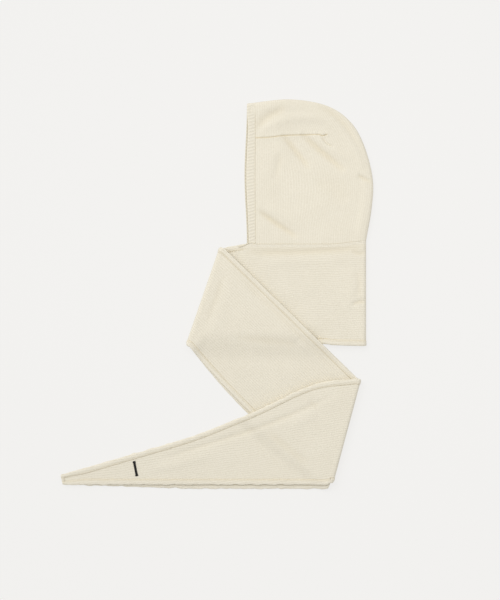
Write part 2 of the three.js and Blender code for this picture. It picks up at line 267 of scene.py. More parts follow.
def finish(name, roughness, sheen):
    """A fabric material to add a pattern to."""
    material = bpy.data.materials.new(name)
    material.use_nodes = True
    shader = material.node_tree.nodes["Principled BSDF"]
    shader.inputs["Roughness"].default_value = roughness
    shader.inputs["Specular IOR Level"].default_value = 0.15
    shader.inputs["Sheen Weight"].default_value = sheen
    shader.inputs["Sheen Roughness"].default_value = 0.6
    return material, material.node_tree, shader


def dress(tree, shader, colour, light, height, depth, grooves=False):
    """Colour times light into the shader, painted warmer where it is darker as in shade, and a height into
    its bump. With grooves, warm painted shade from the depth map darkens grooves and creases.
    """
    # Painted shade: where the light factor is lower, the colour is also warmer.
    warm_shade_and_tone = node(tree, "ShaderNodeCombineXYZ", None,
                  {0: light, 1: maths(tree, "POWER", light, 1.12), 2: maths(tree, "POWER", light, 1.45)})
    tint = node(tree, "ShaderNodeVectorMath", {"operation": "MULTIPLY"}, {0: colour, 1: warm_shade_and_tone.outputs[0]})
    if grooves:
        # Painted shade in grooves and creases, darker and warmer where the depth map is higher.
        painted_shade = node(tree, "ShaderNodeUVMap", {"uv_map": "depth"}).outputs[0]
        painted_shade = node(tree, "ShaderNodeSeparateXYZ", None, {0: painted_shade}).outputs[0]
        painted_shade = node(tree, "ShaderNodeCombineXYZ", None, {0: painted_shade, 1: painted_shade, 2: painted_shade}).outputs[0]
        groove_shade_factor = node(tree, "ShaderNodeVectorMath", {"operation": "MULTIPLY_ADD"},
                    {0: painted_shade, 1: (-0.12, -0.19, -0.34), 2: (1.0, 1.0, 1.0)})
        tint = node(tree, "ShaderNodeVectorMath", {"operation": "MULTIPLY"},
                    {0: tint.outputs[0], 1: groove_shade_factor.outputs[0]})
    bump = node(tree, "ShaderNodeBump", None, {"Height": height, "Strength": 1.0, "Distance": depth * mm})
    tree.links.new(tint.outputs[0], shader.inputs["Base Color"])
    tree.links.new(bump.outputs[0], shader.inputs["Normal"])


def knit_cloth(name, wale, rib, course, depth, shade):
    """Knitted cream yarn with wales along the flat map's second way, standing prouder once in every
    rib. shade is how much painted shade darkens the yarn down between the wales."""
    material, tree, shader = finish(name, 0.92, 0.12)
    flat = node(tree, "ShaderNodeUVMap", {"uv_map": "flat"}).outputs[0]
    drift = node(tree, "ShaderNodeTexNoise", None, {"Vector": flat, "Scale": 30.0, "Detail": 3.0})
    wander = node(tree, "ShaderNodeVectorMath", {"operation": "MULTIPLY_ADD"},
                  {0: drift.outputs["Color"], 1: (0.0034, 0.0034, 0.0), 2: flat}).outputs[0]
    split = node(tree, "ShaderNodeSeparateXYZ", None, {0: wander})
    across = maths(tree, "DIVIDE", split.outputs[0], wale * mm)
    up = maths(tree, "DIVIDE", split.outputs[1], course * mm)
    # Each wale is a column of V stitches, whose two legs lean out from its middle
    side = maths(tree, "PINGPONG", across, 0.5)
    leg = maths(tree, "PINGPONG", maths(tree, "MULTIPLY_ADD", side, 1.5, up), 0.5)
    column = maths(tree, "ABSOLUTE", maths(tree, "SINE", maths(tree, "MULTIPLY", across, math.pi)))
    column = maths(tree, "POWER", column, 0.6)
    proud = maths(tree, "SINE", maths(tree, "MULTIPLY", split.outputs[0], 2 * math.pi / (rib * mm)))
    uneven = maths(tree, "MULTIPLY_ADD", speckle(tree, flat, 60.0), 0.9, 0.4)
    height = maths(tree, "MULTIPLY", leg, 0.5)
    height = maths(tree, "MULTIPLY_ADD", column, 0.28, height)
    height = maths(tree, "MULTIPLY_ADD", maths(tree, "MULTIPLY", proud, uneven), 0.36, height)
    rough = maths(tree, "MULTIPLY_ADD", speckle(tree, wander, 420.0), 0.5, height)
    rough = maths(tree, "MULTIPLY_ADD", speckle(tree, flat, 1300.0), 0.25, rough)
    # Painted shade, darker between the wales, with slow and quick differences in tone from yarn to yarn
    light = maths(tree, "MULTIPLY_ADD", height, shade, 1.0 - shade * 0.42)
    light = maths(tree, "MULTIPLY_ADD", speckle(tree, flat, 14.0), 0.05, light)
    light = maths(tree, "MULTIPLY_ADD", speckle(tree, wander, 420.0), 0.20, light)
    light = maths(tree, "MULTIPLY_ADD", speckle(tree, flat, 190.0), 0.08, light)
    dress(tree, shader, cream, light, rough, depth, grooves=True)
    return material


cream = (0.845, 0.790, 0.660)
hood_knit = knit_cloth("hood_knit", 2.4, 4.8, 1.9, 0.50, 0.17)

# Outline of the folded hood, from the neck at the centre back, up round the crown to the face edge
hood_edge = rounded([
    Vector((0, 0)),
    Vector((0.85 * hood_back, 0.236 * hood_top)),
    Vector((hood_back, 0.438 * hood_top)),
    Vector((0.016 * face_x, 0.673 * hood_top)),
    Vector((0.132 * face_x, 0.842 * hood_top)),
    Vector((0.33 * face_x, 0.955 * hood_top)),
    Vector((0.64 * face_x, hood_top)),
    Vector((face_x, 0.97 * hood_top)),
], 8)
for i, point in enumerate([p.copy() for p in hood_edge]):
    way = hood_edge[min(i + 1, len(hood_edge) - 1)] - hood_edge[max(i - 1, 0)]
    hood_edge[i] = point + Vector((-way.y, way.x)).normalized() * knit / 2
panel_x = face_x + 9  # the panel's raw edge lies inside the trim


def crown_y(x):
    """How high the crown's edge is at x, in the front half of the hood."""
    for a, b in zip(hood_edge[::-1], hood_edge[-2::-1]):
        if a.x <= x <= b.x:
            return a.y + (b.y - a.y) * (x - a.x) / (b.x - a.x)
    return hood_edge[-1].y


def seam_y(x):
    """The neck seam's height: it dips soon after the back, then runs level to the face."""
    return 0.6 - seam_fall * smooth(6, -80, x)


def patch(left, bottom, right, top):
    """Stretches a square over four lines that meet at their ends. The lower and upper lines run from
    left to right, and the sides run up."""
    def plan(p, q):
        low_left, low_right, high_left, high_right = left[0], right[0], left[-1], right[-1]
        corners = low_left.lerp(low_right, p).lerp(high_left.lerp(high_right, p), q)
        sides = along(left, q).lerp(along(right, q), p)
        return sides + along(bottom, p).lerp(along(top, p), q) - corners
    return plan


turn = round(0.53 * len(hood_edge))  # where the outline goes from back to crown
crown = [Vector((panel_x, crown_y(panel_x))), *[p for p in hood_edge[turn:][::-1] if p.x > panel_x + 0.5]]
hood_foot = [Vector((x, seam_y(x))) for x in spread(panel_x, -knit / 2, 8)]
hood_back_edge = [hood_foot[-1], *hood_edge[1:turn + 1]]
hood_plan = patch([hood_foot[0], crown[0]], hood_foot, hood_back_edge, crown)

dart_low, dart_high = (local(corner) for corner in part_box("dart_seam_left"))
dart = rounded([
    Vector((dart_low.x, dart_low.y + 0.4)),
    Vector((dart_low.x + 28, dart_low.y + 1.2)),
    Vector((dart_low.x + 56, dart_high.y - 5.2)),
    Vector((dart_low.x + 92, dart_high.y - 3.8)),
    Vector((dart_high.x - 22, dart_high.y - 3.0)),
    Vector((dart_high.x - 12, dart_high.y - 5.4)),
    Vector((dart_high.x - 3, dart_high.y - 3.0)),
], 5)
hood_creases = [
    ([Vector((-230, 66)), Vector((-190, 38)), Vector((-142, 6))], 5.0, -5.4),
    ([Vector((-208, 76)), Vector((-172, 52)), Vector((-130, 22))], 8, 2.0),
    ([Vector((-178, 226)), Vector((-150, 190)), Vector((-118, 150))], 5.5, -4.4),
    ([Vector((-190, 206)), Vector((-162, 170)), Vector((-138, 140))], 8, 1.4),
    ([Vector((-138, 226)), Vector((-92, 186)), Vector((-42, 144))], 6.5, -5.0),
    ([Vector((-118, 226)), Vector((-80, 198)), Vector((-34, 166))], 8, 1.8),
    (rounded([Vector((-232, 224)), Vector((-183, 250)), Vector((-132, 259)), Vector((-84, 254)),
              Vector((-50, 226)), Vector((-20, 186)), Vector((-8, 150))], 3), 11, 3.4),
    ([Vector((-240, 232)), Vector((-204, 260)), Vector((-166, 282))], 10, -3.4),
    (rounded([Vector((-104, 286)), Vector((-66, 262)), Vector((-34, 226)), Vector((-4, 168))], 3), 8, -3.2),
    ([Vector((-18, 138)), Vector((12, 121))], 4.0, -3.8),
    (rounded([Vector((-96, 221)), Vector((-84, 205)), Vector((-68, 196))], 3), 1.9, -3.4),
    ([Vector((-205, 205)), Vector((-200, 150)), Vector((-190, 95))], 18, 1.2),
    ([Vector((-178, 186)), Vector((-186, 155)), Vector((-192, 120))], 8, -1.6),
    ([Vector((-110, 130)), Vector((-70, 112)), Vector((-40, 80))], 16, -1.0),
]


def hood_wall(side):
    """The right half of the hood lies on the table, side -1, and the left half above it, side 1."""
    middle = sum(hood_skin) / 2
    half = (hood_skin[1] - hood_skin[0]) / 2

    def place(p, q):
        spot = hood_plan(p, q)
        off_edge = 0 if p == 1 or q == 1 else off_line(spot.x, spot.y, hood_edge)[0]
        rim = min(off_edge / round_in, 1)
        z = middle + side * half * math.sqrt(1 - (1 - rim) ** 2)
        # deep is painted shade: warm darkening in the creases, along the dart and just above the neck seam.
        painted_shade = 0
        if side > 0:
            folded = creased(spot.x, spot.y, hood_creases)
            lift = 1.3 * rumple(spot.x, spot.y) + folded
            painted_shade = -0.06 * folded
            off_dart, share = off_line(spot.x, spot.y, dart)
            lift += 0.5 * math.exp(-((off_dart / 6) ** 2))
            lift -= (1.5 + 1.6 * smooth(0.6, 0.9, share)) * math.exp(-((off_dart / 1.2) ** 2))
            pucker = math.exp(-((off_dart / 7) ** 2)) * smooth(0.3, 0.8, share)
            lift += 0.8 * pucker * math.sin(spot.x / 1.7 + 2 * math.sin(spot.x / 6))
            painted_shade += 0.95 * math.exp(-((off_dart / 1.5) ** 2)) + 0.05 * smooth(4, 0, spot.y - seam_y(spot.x))
            free = smooth(0, 26, off_edge + 5) * smooth(5, 26, spot.x - panel_x)
            free *= smooth(1, 16, spot.y - seam_y(spot.x))
            z += lift * rim * free + 0.9 * math.sin(math.pi * smooth(0, 30, off_edge))
        straight = -spot.x
        curved = off_edge + 0.1 * straight
        across = straight + (curved - straight) * smooth(-190, -25, spot.x) * smooth(-10, 90, spot.y)
        return (spot.x, spot.y, z), knit, (across, spot.y), painted_shade

    columns = [*spread(0, 0.965, 1 / 110), 0.972, 0.979, 0.985, 0.990, 0.995, 0.998, 1]
    rows = [*spread(0, 0.68, 0.0115), *spread(0.686, 0.80, 0.0042), *spread(0.81, 0.96, 0.0105),
            0.968, 0.976, 0.983, 0.989, 0.994, 0.998, 1]
    return lay_cloth(columns, rows, place)


hood = make_cloth("hood", join(hood_wall(1), hood_wall(-1)), hood_knit)
fit(hood, "root", "cream_knit", "hood_panel")

# ---------------------------------------------------------------------------------------------------
# Face trim: a band of ribbed knit, folded in half over the raw edge of the face opening. Its ribs lie
# across the band. It runs up the left side, over the crown and down the right side.
rib_pitch = 6.7
trim_thick = 4.2
trim_low = trim_thick / 2
trim_high = hood_high.z / mm - trim_thick / 2 + 0.2
trim_half = (trim_high - trim_low) / 2
trim_wall = 1.2  # from the middle of the folded band out to each of its two layers
trim_bow = 5.0  # how far the face edge stands out between crown and neck
set_back = 3.6  # the upper half's face edge lies this much further in than the lower half's


def trim_material():
    material, tree, shader = finish("trim_rib", 0.9, 0.12)
    flat = node(tree, "ShaderNodeUVMap", {"uv_map": "flat"}).outputs[0]
    split = node(tree, "ShaderNodeSeparateXYZ", None, {0: flat})
    turn_of = 2 * math.pi / (rib_pitch * mm)
    rib = maths(tree, "COSINE", maths(tree, "MULTIPLY", split.outputs[1], turn_of))
    yarn = maths(tree, "SINE", maths(tree, "MULTIPLY", split.outputs[0], 2 * math.pi / (1.9 * mm)))
    height = maths(tree, "MULTIPLY_ADD", yarn, 0.2, maths(tree, "MULTIPLY", rib, 0.35))
    height = maths(tree, "MULTIPLY_ADD", speckle(tree, flat, 1200.0), 0.4, height)
    # Painted shade: the inner face is darker, for the shade in the gap between the two halves, and each rib
    # is lighter on its crest and darker between.
    inner_face_shade = maths(tree, "LESS_THAN", split.outputs[0], 0.0)
    light = maths(tree, "MULTIPLY_ADD", rib, 0.03, maths(tree, "MULTIPLY_ADD", inner_face_shade, -0.14, 0.98))
    light = maths(tree, "MULTIPLY_ADD", yarn, 0.02, light)
    light = maths(tree, "MULTIPLY_ADD", speckle(tree, flat, 500.0), 0.14, light)
    dress(tree, shader, cream, light, height, 0.5)
    return material


def trim_place(a, b):
    """a runs over the cut band from its inner edge, -1, to the fold, 0, and its outer edge, 1; b runs
    along it, in mm, from the neck on the right side to the neck on the left side."""
    inward = abs(a)
    x = face_x + 0.8 + inward * (trim_width - 0.8)
    foot = seam_y(x) - 1.5
    top = crown_y(x) - trim_half - 0.8
    straight = top - foot
    over = math.pi * trim_half
    rise = min(b, straight) if b < straight + over else 2 * straight + over - b
    bow = trim_bow * math.sin(math.pi * smooth(0, straight, rise)) * (1 - 0.8 * inward)
    edge = math.sqrt(1 - (1 - min(inward * trim_width / 2.4, 1)) ** 2)
    out = math.copysign(trim_wall, a) * edge * (1 - 0.35 * smooth(0.88, 1, inward))
    if b < straight:
        y, z, share = foot + b, trim_low - out, 0
    elif b < straight + over:
        angle = (b - straight) / trim_half
        y = top + (trim_half + out) * math.sin(angle)
        z = trim_low + trim_half - (trim_half + out) * math.cos(angle)
        share = 0
    else:
        y, z = top - (b - straight - over), trim_high + out
        share = smooth(4, 50, top - y)
        z += 0.5 * rumple(x, y)
    x += share * set_back * (1 - 0.75 * inward) - bow
    rib = 0.5 + 0.5 * math.cos(2 * math.pi * b / rib_pitch)
    thick = 1.3 + 0.6 * rib * edge
    return (x, y, z), thick, (a * trim_width, b), 0


trim_length = 2 * (crown_y(face_x) - trim_half - seam_y(face_x) + 1.5) + math.pi * trim_half
trim_shares = [0, 0.02, 0.05, 0.10, 0.15, 0.25, 0.4, 0.55, 0.7, 0.82, 0.9, 0.95, 1]
trim = make_cloth(
    "face_trim",
    lay_cloth([*[-share for share in trim_shares[:0:-1]], *trim_shares],
              spread(0, trim_length, rib_pitch / 6), trim_place),
    trim_material(),
)
fit(trim, "root", "ribbed_binding", "face_binding")

# ---------------------------------------------------------------------------------------------------
# Linking of the trim to the hood: a close chain of yarn stitches in the groove between them, on both
# sides, from the neck up over the crown.


def thread_material(name, colour):
    material, tree, shader = finish(name, 0.75, 0.1)
    spot = node(tree, "ShaderNodeTexCoord").outputs["Object"]
    twist = node(tree, "ShaderNodeTexWave", {"bands_direction": "DIAGONAL"},
                 {"Vector": spot, "Scale": 520.0, "Distortion": 2.0}).outputs["Fac"]
    light = maths(tree, "MULTIPLY_ADD", twist, 0.12, 0.84)
    light = maths(tree, "MULTIPLY_ADD", speckle(tree, spot, 300.0), 0.2, light)
    dress(tree, shader, colour, light, twist, 0.12)
    return material


yarn = thread_material("linking_yarn", (0.90, 0.84, 0.70))
# The dart thread is a dark tan, darker than the thread itself, to paint the shade in the dart's crevice.
thread_with_painted_shade = thread_material("sewing_thread", (0.70, 0.60, 0.42))
pale_thread = thread_material("linking_thread", (0.82, 0.73, 0.54))
# The linking yarn is painted paler than the knit, a painted highlight on the raised rows below the neck seam.
highlit_pale_yarn = thread_material("highlit_pale_linking_yarn", (0.96, 0.91, 0.79))


lowest_stitch = 1.0  # the height of a stitch's middle where it lies on the table


def stitch_row(name, spots, pitch, size, swing=0.0, material=thread_with_painted_shade):
    """A row of stitches along a line of spots, each a short rounded bar of size (long, wide, high).
    They lean by swing degrees, to one side and the other by turns."""
    bm = bmesh.new()
    distance, count = 0, 0
    for a, b in zip(spots, spots[1:]):
        way = b - a
        while distance <= way.length:
            spot = a + way * distance / max(way.length, 1e-6)
            height = max(spot.z, lowest_stitch)
            place = Matrix.Translation((datum.x + spot.x * mm, datum.y + spot.y * mm, height * mm))
            lay = way.to_track_quat("X", "Z").to_matrix().to_4x4()
            tilt = Matrix.Rotation(math.radians(swing if count % 2 else -swing), 4, "Z")
            shape = Matrix.Diagonal((size[0] * mm, size[1] * mm, size[2] * mm, 1))
            bmesh.ops.create_uvsphere(bm, u_segments=6, v_segments=4, radius=0.5,
                                      matrix=place @ lay @ tilt @ shape)
            distance += pitch
            count += 1
        distance -= way.length
    return make(name, bm, material)


def trim_seam_spot(b):
    (x, y, z), _, _, _ = trim_place(1, b)
    upper = 1 if z > trim_low + trim_half else -1
    return Vector((x + 1.2, y, z + upper * 1.0))


seam_b = spread(0, trim_length, 6)
chain = stitch_row("trim_seam", [trim_seam_spot(b) for b in seam_b], 2.4, (2.9, 1.5, 1.3), 14, yarn)
fit(chain, "root", "sewing_thread", "face_binding_seam")

# ---------------------------------------------------------------------------------------------------
# Darts: one at each side of the crown takes in the fullness at the temple. Each is a short linked
# seam from the trim back into the panel, drawn tight into a small knot at its end.


def hood_top_at(x, y):
    lift = 1.3 * rumple(x, y) + creased(x, y, hood_creases)
    return hood_skin[1] + lift + knit / 2


for side, level in (("left", None), ("right", hood_skin[0])):
    spots = []
    for point in dart:
        z = hood_top_at(point.x, point.y) - 1.9 if level is None else level
        spots.append(Vector((point.x, point.y, z)))
    # Its thread is painted darker, as the shade in the dart's crevice.
    seam = stitch_row("dart_" + side, spots, 2.6, (2.6, 0.8, 0.9), 24)
    fit(seam, "root", "sewing_thread", "dart_seam_" + side)

# ---------------------------------------------------------------------------------------------------
# Neck band: where the two scarf arms meet round the neck. It is one strip of the arms' coarser knit,
# folded at the centre back, linked to the hood above and hemmed below.
scarf_knit = knit_cloth("scarf_knit", 2.4, 4.7, 2.1, 0.62, 0.20)
arm_gap = 5.0  # from the middle of one arm to the middle of the other, where they lie together
table_z = (knit / 2, knit / 2 + arm_gap)
joints = {joint["name"]: joint for joint in frame["record"]["behaviour"]["joints"]}
bend_1_top = local(joints["fold_1"]["pos_m"])
bend_2_top = local(joints["fold_2"]["pos_m"])
down_1 = Vector(joints["fold_1"]["axis"][:2])
down_2 = -Vector(joints["fold_2"]["axis"][:2])
fold_1_z = joints["fold_1"]["pos_m"][2] / mm
fold_2_z = joints["fold_2"]["pos_m"][2] / mm
fold_1_length, fold_2_length = 211.0, 212.5
corner_reach = 3.0  # each roll runs this much further, to a soft corner
bend_1_foot = bend_1_top + (fold_1_length + corner_reach) * down_1
bend_2_foot = bend_2_top + (fold_2_length + 3 * corner_reach) * down_2
bend_1_top = bend_1_top - corner_reach * down_1
bend_2_top = bend_2_top - corner_reach * down_2
neck_z = hood_skin[1]
neck_at_fold = table_z[1]
band_foot = bend_1_foot.y + corner_reach
band_width = 216
band_sink = 4.6  # how far the band gives way under the arms' middle runs
strip_width = 212
hem = 11  # from a hem's edge to its stitching
hem_zone = 16  # the part of a strip that a hem takes in
hem_rows = [0, 0.02, 0.06, 0.12, 0.25, 0.40, 0.50, 0.54, 0.58, 0.64, 0.6875, 0.735, 0.80, 0.89]


def rows_for(width, step):
    """Row numbers over a strip: 0 to 1 is its lower hem zone, 1 to 2 its middle, 2 to 3 its upper."""
    middle = spread(1, 2, step / max(width - 2 * hem_zone, step))
    return [*hem_rows, *middle, *[3 - row for row in hem_rows[::-1]]]


def across_strip(row, width):
    """How far up a strip a row is, and how far it is from the nearest edge, as a hem counts it."""
    zone = min(hem_zone, 0.46 * width)
    if row <= 1:
        return row * zone, row * hem_zone
    if row >= 2:
        return width - (3 - row) * zone, (3 - row) * hem_zone
    inside = (row - 1) * (width - 2 * zone)
    return zone + inside, hem_zone + min(inside, width - 2 * zone - inside)


def hem_thick(h, run=0.0, side=0):
    """A turned hem's thickness at h from its folded edge: a round, slightly uneven edge, double knit,
    two grooves drawn in by the stitching, then one layer. run is how far along the hem this is."""
    uneven = 0.45 * noise.noise(Vector((run / 8, side * 5, 2))) if run else 0
    round_edge = 0.4 + 3.5 * math.sqrt(1 - (1 - min(h / 1.9, 1)) ** 2)
    inner = knit + (1.7 + uneven) * (1 - smooth(10.2, 12.8, h))
    drawn_in = 1.3 + 0.3 * math.cos(run * 1.5)
    groove = drawn_in * math.exp(-(((h - hem) / 0.9) ** 2)) + 0.5 * math.exp(-(((h - 8.6) / 0.8) ** 2))
    return min(round_edge, inner) - groove


def hem_groove_shade(h):
    """How much painted shade the knit gets at h from a hem's edge, in the grooves that the stitching draws
    in.
    """
    return 0.45 * math.exp(-(((h - hem) / 1.0) ** 2)) + 0.28 * math.exp(-(((h - 8.6) / 0.9) ** 2))


band_top = [Vector((x, seam_y(x) - 0.3)) for x in spread(-knit / 2, face_x, 10)][::-1]
band_top = [bend_1_top, Vector((-290, -13)), Vector((-275, -10.8)), Vector((-262, -8)), *band_top]
band_bottom = [
    bend_1_foot,
    *rounded([Vector((-330, band_foot + 3)), Vector((-220, band_foot + 9)), Vector((-90, band_foot + 3)),
              Vector((-70, band_foot + 0.5)), Vector((-knit / 2, band_foot - 1.5))], 5),
]
band_plan = patch([bend_1_foot, bend_1_top], band_bottom, [band_bottom[-1], band_top[-1]], band_top)
band_creases = [
    ([Vector((-1, -24)), Vector((-14, -27)), Vector((-30, -22))], 3.5, -1.8),
    ([Vector((0, -129)), Vector((-14, -127)), Vector((-32, -134))], 4, -2.4),
    ([Vector((-248, -26)), Vector((-130, -23)), Vector((-8, -14))], 7, -1.6),
    ([Vector((-230, -50)), Vector((-120, -42)), Vector((-10, -38))], 11, 1.0),
    ([Vector((-44, -60)), Vector((-30, -95)), Vector((-40, -150))], 13, 0.9),
    ([Vector((-20, -60)), Vector((-14, -90)), Vector((-18, -120))], 6, -1.1),
]


def band_wall(side):
    middle = sum(hood_skin) / 2
    half = (hood_skin[1] - hood_skin[0]) / 2

    def place(p, row):
        up, h = across_strip(row, band_width)
        spot = band_plan(p, up / band_width)
        rim = min(max((-knit / 2 - spot.x) / round_in, 0), 1)
        z = middle + side * half * math.sqrt(1 - (1 - rim) ** 2)
        hemmed = 1 if row < 1.5 else smooth(face_x + 4, face_x - 8, spot.x)
        thick = knit + (hem_thick(h, spot.x, 1 if row > 1.5 else -1) - knit) * hemmed
        # Painted shade: warm darkening in the hem grooves, in a band just below the neck seam and in the
        # creases.
        under_seam_shade = smooth(5, 9, h) * smooth(34, 14, h) * (row > 1.5)
        painted_shade = hem_groove_shade(h) * hemmed + 0.10 * (1 - hemmed) * under_seam_shade
        fold = smooth(-254, -290, spot.x)
        if side > 0:
            z += (neck_at_fold - z) * fold
            sunk = smooth(-70, -110, spot.x) * (1 - fold) * smooth(band_foot + 42, band_foot + 4, spot.y)
            z -= band_sink * sunk
            free = rim * smooth(0, 14, spot.x - face_x + 10) * smooth(0, 14, band_width - up)
            folded = creased(spot.x, spot.y, band_creases)
            z += free * (0.9 * rumple(spot.x, spot.y) + folded)
            painted_shade -= 0.11 * folded
            hidden = smooth(-95, -115, spot.x) * (1 - fold)
            inward = (0.9 - 1.9 * hidden) * (thick - knit) / 2
        else:
            inward = (thick - knit) / 2
        z += inward * rim
        wave = noise.noise(Vector((spot.x / 40, spot.y / 60, 1))) * 5 * rim
        return (spot.x, spot.y, z), thick, (spot.y + wave, -spot.x * side), painted_shade

    columns = [*spread(0, 0.96, 1 / 150), *spread(0.965, 0.985, 0.005), 0.988, 0.991, 0.994, 0.997, 0.9985, 1]
    return lay_cloth(columns, rows_for(band_width, 3.6), place)


neck = make_cloth("neck", join(band_wall(1), band_wall(-1)), scarf_knit)
fit(neck, "root", "cream_knit", "neck_band")

# ---------------------------------------------------------------------------------------------------
# Neck seam: the hood is linked to the neck band stitch by stitch, with a row of thread above and a
# second row of yarn below. It runs round from the face on the right side, past the centre back, to
# the face on the left, and is gathered into a knot at each end.
seam_half = (hood_skin[1] - hood_skin[0]) / 2
seam_turn = -6.5  # where the seam starts to turn round the centre back


def seam_round(drop, out):
    """Spots round the neck from face to face, drop below the seam and out from the cloth's middle."""
    spots = []
    for x in spread(face_x, seam_turn, 7):
        spots.append(Vector((x, seam_y(x) - drop, hood_skin[0] + 0.2)))
    for angle in spread(-90, 90, 30):
        reach = seam_half * math.cos(math.radians(angle))
        spots.append(Vector((seam_turn + reach + out * math.cos(math.radians(angle)), seam_y(0) - drop,
                             sum(hood_skin) / 2 + (seam_half + out) * math.sin(math.radians(angle)))))
    for x in spread(seam_turn, face_x, 7):
        spots.append(Vector((x, seam_y(x) - drop, hood_skin[1] + out)))
    return spots


# Its yarn rows are painted paler than the knit, as a highlight on the raised rows.
linking = stitch_row("neck_linking", seam_round(2.2, 0.75), 3.1, (5.0, 4.0, 1.6), 14, highlit_pale_yarn)
fit(linking, "root", "sewing_thread", "neck_seam")
for row_name, drop, out, pitch, size, swing, material in (
    ("neck_linking_thread", -0.3, 1.0, 3.1, (3.4, 1.0, 0.8), 30, pale_thread),
    ("neck_linking_lower", 4.8, 0.65, 3.6, (5.0, 2.8, 1.4), 20, highlit_pale_yarn),
):
    under_row = stitch_row(row_name, seam_round(drop, out), pitch, size, swing, material)
    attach(under_row, "root")
for side, level in (("left", hood_skin[1] + 1.4), ("right", hood_skin[0] + 1.6)):
    foot = seam_y(face_x)
    gathered = [Vector((face_x + along_x, foot + rise, level + 0.5 * math.sin(along_x)))
                for along_x, rise in ((17, 1.5), (10, 3.4), (3, 2.2), (-4, -1.6), (-10, -4.4), (-18, -5.6))]
    knot = stitch_row("face_corner_" + side, gathered, 2.2, (4.6, 2.6, 2.0), 28, yarn)
    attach(knot, "root")

# ---------------------------------------------------------------------------------------------------
# Scarf arms: two long tapered strips, the same knit as the neck band, laid one on the other and folded
# twice. Each is hemmed along both sides. Between two folds an arm is a flat run, and at each fold the
# cloth rolls round. The middle run lies over the neck band, and the end run over the middle run.


def heading(degrees):
    return Vector((math.cos(math.radians(degrees)), math.sin(math.radians(degrees))))


def ease(high, low, start, run, distance):
    t = min(max((distance - start) / run, 0), 1)
    return high + (low - high) * (1 - math.cos(math.pi * t)) / 2


def bowed(start, end, bow, pull):
    """A shallow curve from start to end, standing out by about bow."""
    way = (end - start).normalized()
    middle = start.lerp(end, pull) + Vector((way.y, -way.x)) * 2 * bow
    return [start * (1 - t) ** 2 + middle * 2 * t * (1 - t) + end * t * t for t in spread(0, 1, 1 / 12)]


def strip(low_line, high_line, height, lift, sway, lay_way, edge_wave, tip=False):
    """A run's place function. height(x, y) is the middle of the cloth there, lift how far its hems'
    thickness stands up rather than down, and sway its share of the rumples."""
    memory = {}

    def place(u, row):
        if u not in memory:
            memory[u] = (along(low_line, u), along(high_line, u))
        low, high = memory[u]
        width = (high - low).length
        up, h = across_strip(row, width)
        spot = low.lerp(high, up / width)
        inside = smooth(0, 0.07, u) * (1 if tip else smooth(0, 0.07, 1 - u))
        run = u * (low_line[-1] - low_line[0]).length
        near = (1 - smooth(0, 16, h)) * inside
        side = 1 if row > 1.5 else -1
        wave = noise.noise(Vector((run / 16, side * 7, edge_wave[1])))
        wave += 0.4 * noise.noise(Vector((run / 7, side * 7, edge_wave[1])))
        spot += (high - low).normalized() * edge_wave[0] * near * wave
        thick = knit + (hem_thick(h, run if inside == 1 else 0, side) - knit)
        if tip and u > 0.99:
            thick = 0.5 + (thick - 0.5) * math.sqrt(1 - min(max((u - 0.99) / 0.01, 0), 1) ** 2)
        raised = lift * (thick - knit) / 2
        folded = sway(spot.x, spot.y) * inside
        z = max(height(spot.x, spot.y) + raised + folded, thick / 2)
        flat = (spot.dot(Vector((-lay_way.y, lay_way.x))), spot.dot(lay_way))
        drift = 3 * noise.noise(Vector((spot.x / 60, spot.y / 60, 4))) * inside
        # Its last value is painted shade, in the hem grooves and in the valleys of the creases.
        return (spot.x, spot.y, z), thick, (flat[0] + drift, flat[1]), hem_groove_shade(h) - 0.11 * min(folded, 0)

    return place


def over_hem(high, low, x, y):
    """The middle run's height as it comes down off the neck band: late near the fold, then slowly."""
    slow = smooth(-372, -330, x)
    return ease(high, low, 3 - 34 * slow, 34 + 34 * slow, band_foot - y)


over_neck = {"left": neck_z + knit + 1.3, "right": neck_z + knit + 1.3 + arm_gap}
over_middle = {"right": table_z[1] + arm_gap, "left": table_z[1] + 2 * arm_gap}
middle_low = {side: bowed(bend_1_foot, bend_2_foot, bow, 0.46) for side, bow in (("left", 16), ("right", 11))}
middle_high = [bend_1_top, bend_2_top]
middle_way = (bend_2_top - bend_1_top).normalized()
middle_inward = Vector((middle_way.y, -middle_way.x))
middle_creases = [
    ([bend_1_top + 20 * middle_inward + 25 * middle_way, bend_2_top + 20 * middle_inward - 25 * middle_way],
     6, -1.4),
    ([bend_1_top + 34 * middle_inward + 45 * middle_way, bend_2_top + 32 * middle_inward - 45 * middle_way],
     9, 0.8),
    ([Vector((-294, -60)), Vector((-318, -130)), Vector((-342, -192))], 9, -1.3),
    ([Vector((-275, -70)), Vector((-300, -140)), Vector((-322, -200))], 12, 0.8),
    ([Vector((-290, -200)), Vector((-220, -208)), Vector((-150, -214)), Vector((-130, -205))], 9, -1.3),
]
end_low_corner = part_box("scarf_end_left")[0]
tip_x = (end_low_corner.x - datum.x) / mm
hem_level = local(end_low_corner).y
tip_high = Vector((tip_x, hem_level + 19))


def end_low(peek):
    return [bend_2_foot, Vector((bend_2_foot.x - 0.8, bend_2_foot.y - 0.4 * peek - 2)),
            Vector((bend_2_foot.x - 4, hem_level - peek + 1)), Vector((bend_2_foot.x - 10, hem_level - peek)),
            Vector((bend_2_foot.x - 286, hem_level - peek)), Vector((tip_x + 4.2, hem_level))]


